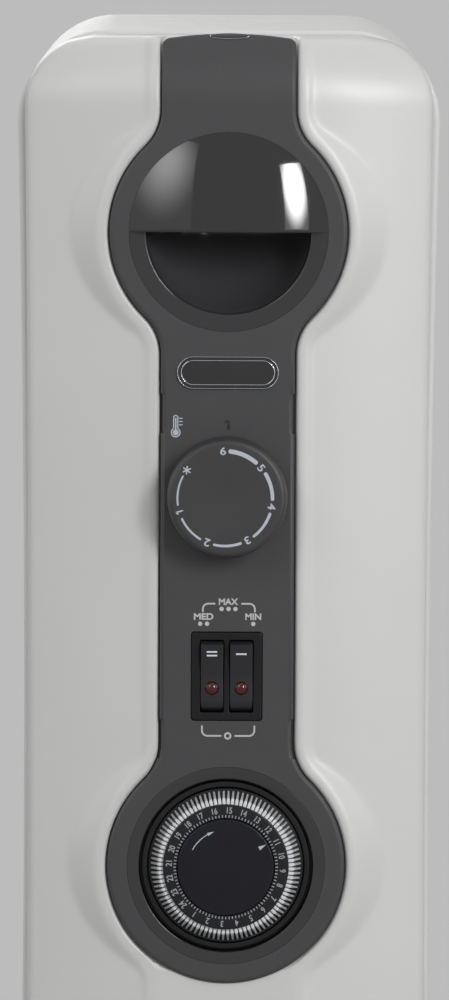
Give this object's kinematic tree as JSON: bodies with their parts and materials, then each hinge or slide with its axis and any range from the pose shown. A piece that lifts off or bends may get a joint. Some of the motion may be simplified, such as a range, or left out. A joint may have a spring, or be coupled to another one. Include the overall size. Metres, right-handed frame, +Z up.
{
  "type": "oil-filled radiator",
  "caption": "Free-standing oil-filled column radiator on castors, with a front control strip that holds a recessed pull handle, thermostat knob, rocker switches and a day timer.",
  "frame": {"origin": "on the floor under the middle of the whole object's box", "axes": "+Z up, +Y from the control end to the back of the fin stack, +X across the fins"},
  "size_m": [0.245, 0.344, 0.64],
  "materials": {
    "enamel": "satin off-white powder enamel",
    "dark_plastic": "fine matt dark grey moulding",
    "gloss_black": "polished black moulding",
    "switch_black": "satin black moulding",
    "red_lens": "clear dark red moulding",
    "dial_black": "satin blue-black moulding",
    "tappet_grey": "satin grey moulding",
    "chrome_trim": "bright plated",
    "badge_face": "plain satin grey",
    "inner_plastic": "natural heat-proof moulding",
    "zinc_steel": "zinc plated",
    "brass": "plain turned",
    "foot_black": "matt black moulding",
    "wheel_black": "satin black tread"
  },
  "bodies": {
    "radiator": {"fin_1": "enamel", "fin_2": "enamel", "fin_3": "enamel", "fin_4": "enamel", "fin_5": "enamel", "fin_6": "enamel", "fin_7": "enamel", "heating_element": "zinc_steel", "element_flange": "brass", "oil_plug": "brass", "front_cover": "enamel", "fascia": "dark_plastic", "badge_rim": "chrome_trim", "badge_plate": "badge_face", "top_badge": "badge_face", "handle_bowl": "gloss_black", "handle_hood": "gloss_black", "thermostat_body": "inner_plastic", "thermostat_screws": "zinc_steel", "switch_housing": "switch_black", "timer_bezel": "gloss_black", "timer_centre_cap": "dial_black", "timer_body": "inner_plastic", "rear_shield": "zinc_steel", "shield_spacers": "zinc_steel", "shield_screws": "zinc_steel", "cover_screws": "zinc_steel", "terminal_block": "inner_plastic", "thermal_cutout": "inner_plastic", "cord_gland": "foot_black", "foot_front": "foot_black", "foot_rear": "foot_black", "u_bolts": "zinc_steel", "washers": "zinc_steel", "wing_nuts": "zinc_steel"},
    "knob": {"thermostat_knob": "dark_plastic", "thermostat_shaft": "zinc_steel"},
    "left_switch": {"rocker_left": "switch_black", "lens_left": "red_lens"},
    "right_switch": {"rocker_right": "switch_black", "lens_right": "red_lens"},
    "dial": {"timer_dial": "dial_black", "timer_tappets": "tappet_grey"},
    "castor_1": {"castor_1_fork": "foot_black", "castor_1_stem": "zinc_steel"},
    "castor_1_wheelset": {"castor_1_axle": "zinc_steel", "castor_1_wheels": "wheel_black"},
    "castor_2": {"castor_2_fork": "foot_black", "castor_2_stem": "zinc_steel"},
    "castor_2_wheelset": {"castor_2_axle": "zinc_steel", "castor_2_wheels": "wheel_black"},
    "castor_3": {"castor_3_fork": "foot_black", "castor_3_stem": "zinc_steel"},
    "castor_3_wheelset": {"castor_3_axle": "zinc_steel", "castor_3_wheels": "wheel_black"},
    "castor_4": {"castor_4_fork": "foot_black", "castor_4_stem": "zinc_steel"},
    "castor_4_wheelset": {"castor_4_axle": "zinc_steel", "castor_4_wheels": "wheel_black"}
  },
  "joints": [
    {"name": "thermostat_turn", "type": "hinge", "parent": "radiator", "child": "knob", "pos_m": [0, -0.15775, 0.46781], "axis": [0, -1, 0], "range_deg": [-3, 307]},
    {"name": "left_switch_rock", "type": "hinge", "parent": "radiator", "child": "left_switch", "pos_m": [-0.00544, -0.15525, 0.4007], "axis": [-1, 0, 0], "range_deg": [0, 12]},
    {"name": "right_switch_rock", "type": "hinge", "parent": "radiator", "child": "right_switch", "pos_m": [0.00544, -0.15525, 0.4007], "axis": [-1, 0, 0], "range_deg": [0, 12]},
    {"name": "timer_turn", "type": "hinge", "parent": "radiator", "child": "dial", "pos_m": [0, -0.16245, 0.33], "axis": [0, -1, 0], "continuous": true},
    {"name": "castor_1_swivel", "type": "hinge", "parent": "radiator", "child": "castor_1", "pos_m": [-0.0985, -0.07425, 0.0464], "axis": [0, 0, 1], "continuous": true},
    {"name": "castor_1_roll", "type": "hinge", "parent": "castor_1", "child": "castor_1_wheelset", "pos_m": [-0.0985, -0.08825, 0.02], "axis": [1, 0, 0], "continuous": true},
    {"name": "castor_2_swivel", "type": "hinge", "parent": "radiator", "child": "castor_2", "pos_m": [0.0985, -0.07425, 0.0464], "axis": [0, 0, 1], "continuous": true},
    {"name": "castor_2_roll", "type": "hinge", "parent": "castor_2", "child": "castor_2_wheelset", "pos_m": [0.0985, -0.08825, 0.02], "axis": [1, 0, 0], "continuous": true},
    {"name": "castor_3_swivel", "type": "hinge", "parent": "radiator", "child": "castor_3", "pos_m": [-0.0985, 0.13575, 0.0464], "axis": [0, 0, 1], "continuous": true},
    {"name": "castor_3_roll", "type": "hinge", "parent": "castor_3", "child": "castor_3_wheelset", "pos_m": [-0.0985, 0.12175, 0.02], "axis": [1, 0, 0], "continuous": true},
    {"name": "castor_4_swivel", "type": "hinge", "parent": "radiator", "child": "castor_4", "pos_m": [0.0985, 0.13575, 0.0464], "axis": [0, 0, 1], "continuous": true},
    {"name": "castor_4_roll", "type": "hinge", "parent": "castor_4", "child": "castor_4_wheelset", "pos_m": [0.0985, 0.12175, 0.02], "axis": [1, 0, 0], "continuous": true}
  ]
}
